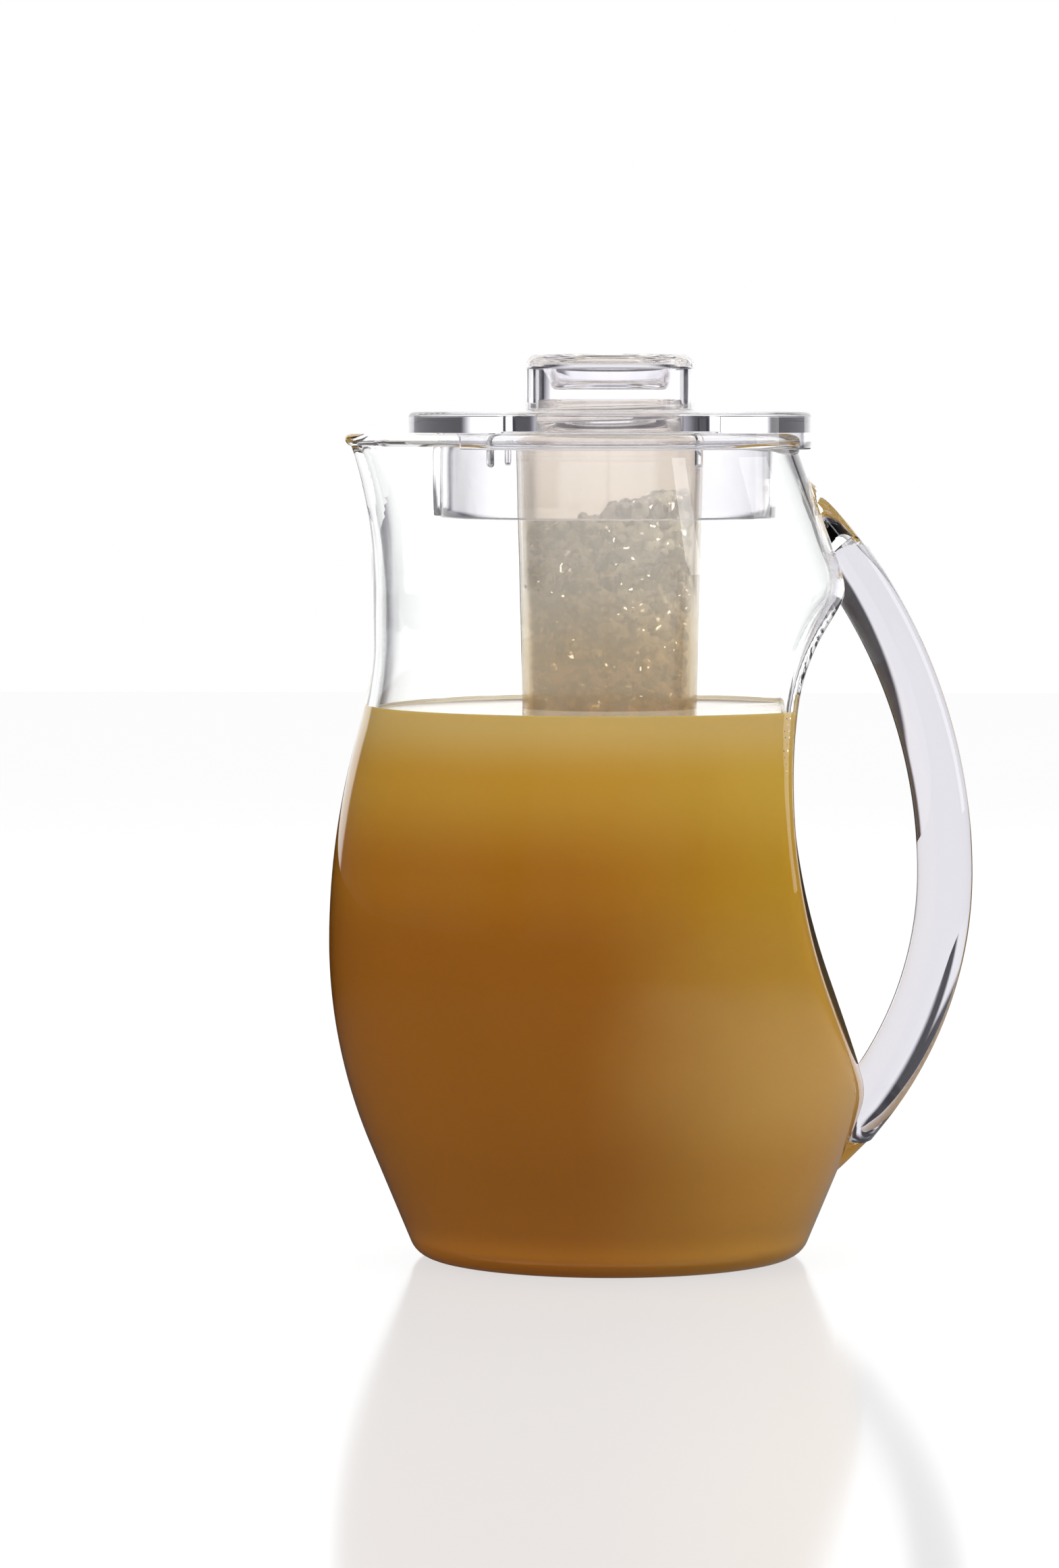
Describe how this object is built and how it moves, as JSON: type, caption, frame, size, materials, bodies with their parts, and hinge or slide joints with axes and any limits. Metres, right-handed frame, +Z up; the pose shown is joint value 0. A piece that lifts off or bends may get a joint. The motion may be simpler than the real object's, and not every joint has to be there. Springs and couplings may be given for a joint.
{
  "type": "pitcher with ice core",
  "caption": "Clear round-bodied serving pitcher with a pouring lip, a hand recess with a bonded loop handle, and a lift-off lid that carries a hanging cup for ice.",
  "frame": {"origin": "centre of the pitcher's flat foot, on the axis of its round body", "axes": "+Z up along the body's axis, +X towards the handle, -X towards the pouring lip, +Y to the far side of the stored picture's view"},
  "size_m": [0.1792, 0.1564, 0.2514],
  "materials": {
    "clear_body": "clear polished",
    "clear_handle": "clear polished",
    "clear_lid": "clear polished",
    "frosted_core": "milky frosted"
  },
  "bodies": {
    "jug_body": {"jug": "clear_body", "handle": "clear_handle"},
    "lid_body": {"lid": "clear_lid"},
    "core_body": {"ice_core": "frosted_core"}
  },
  "joints": [
    {"name": "lid_lift", "type": "slide", "parent": "jug_body", "child": "lid_body", "axis": [0, 0, 1], "range_m": [0, 0.23]},
    {"name": "core_release", "type": "slide", "parent": "lid_body", "child": "core_body", "axis": [0, 0, -1], "range_m": [0, 0.036]}
  ]
}
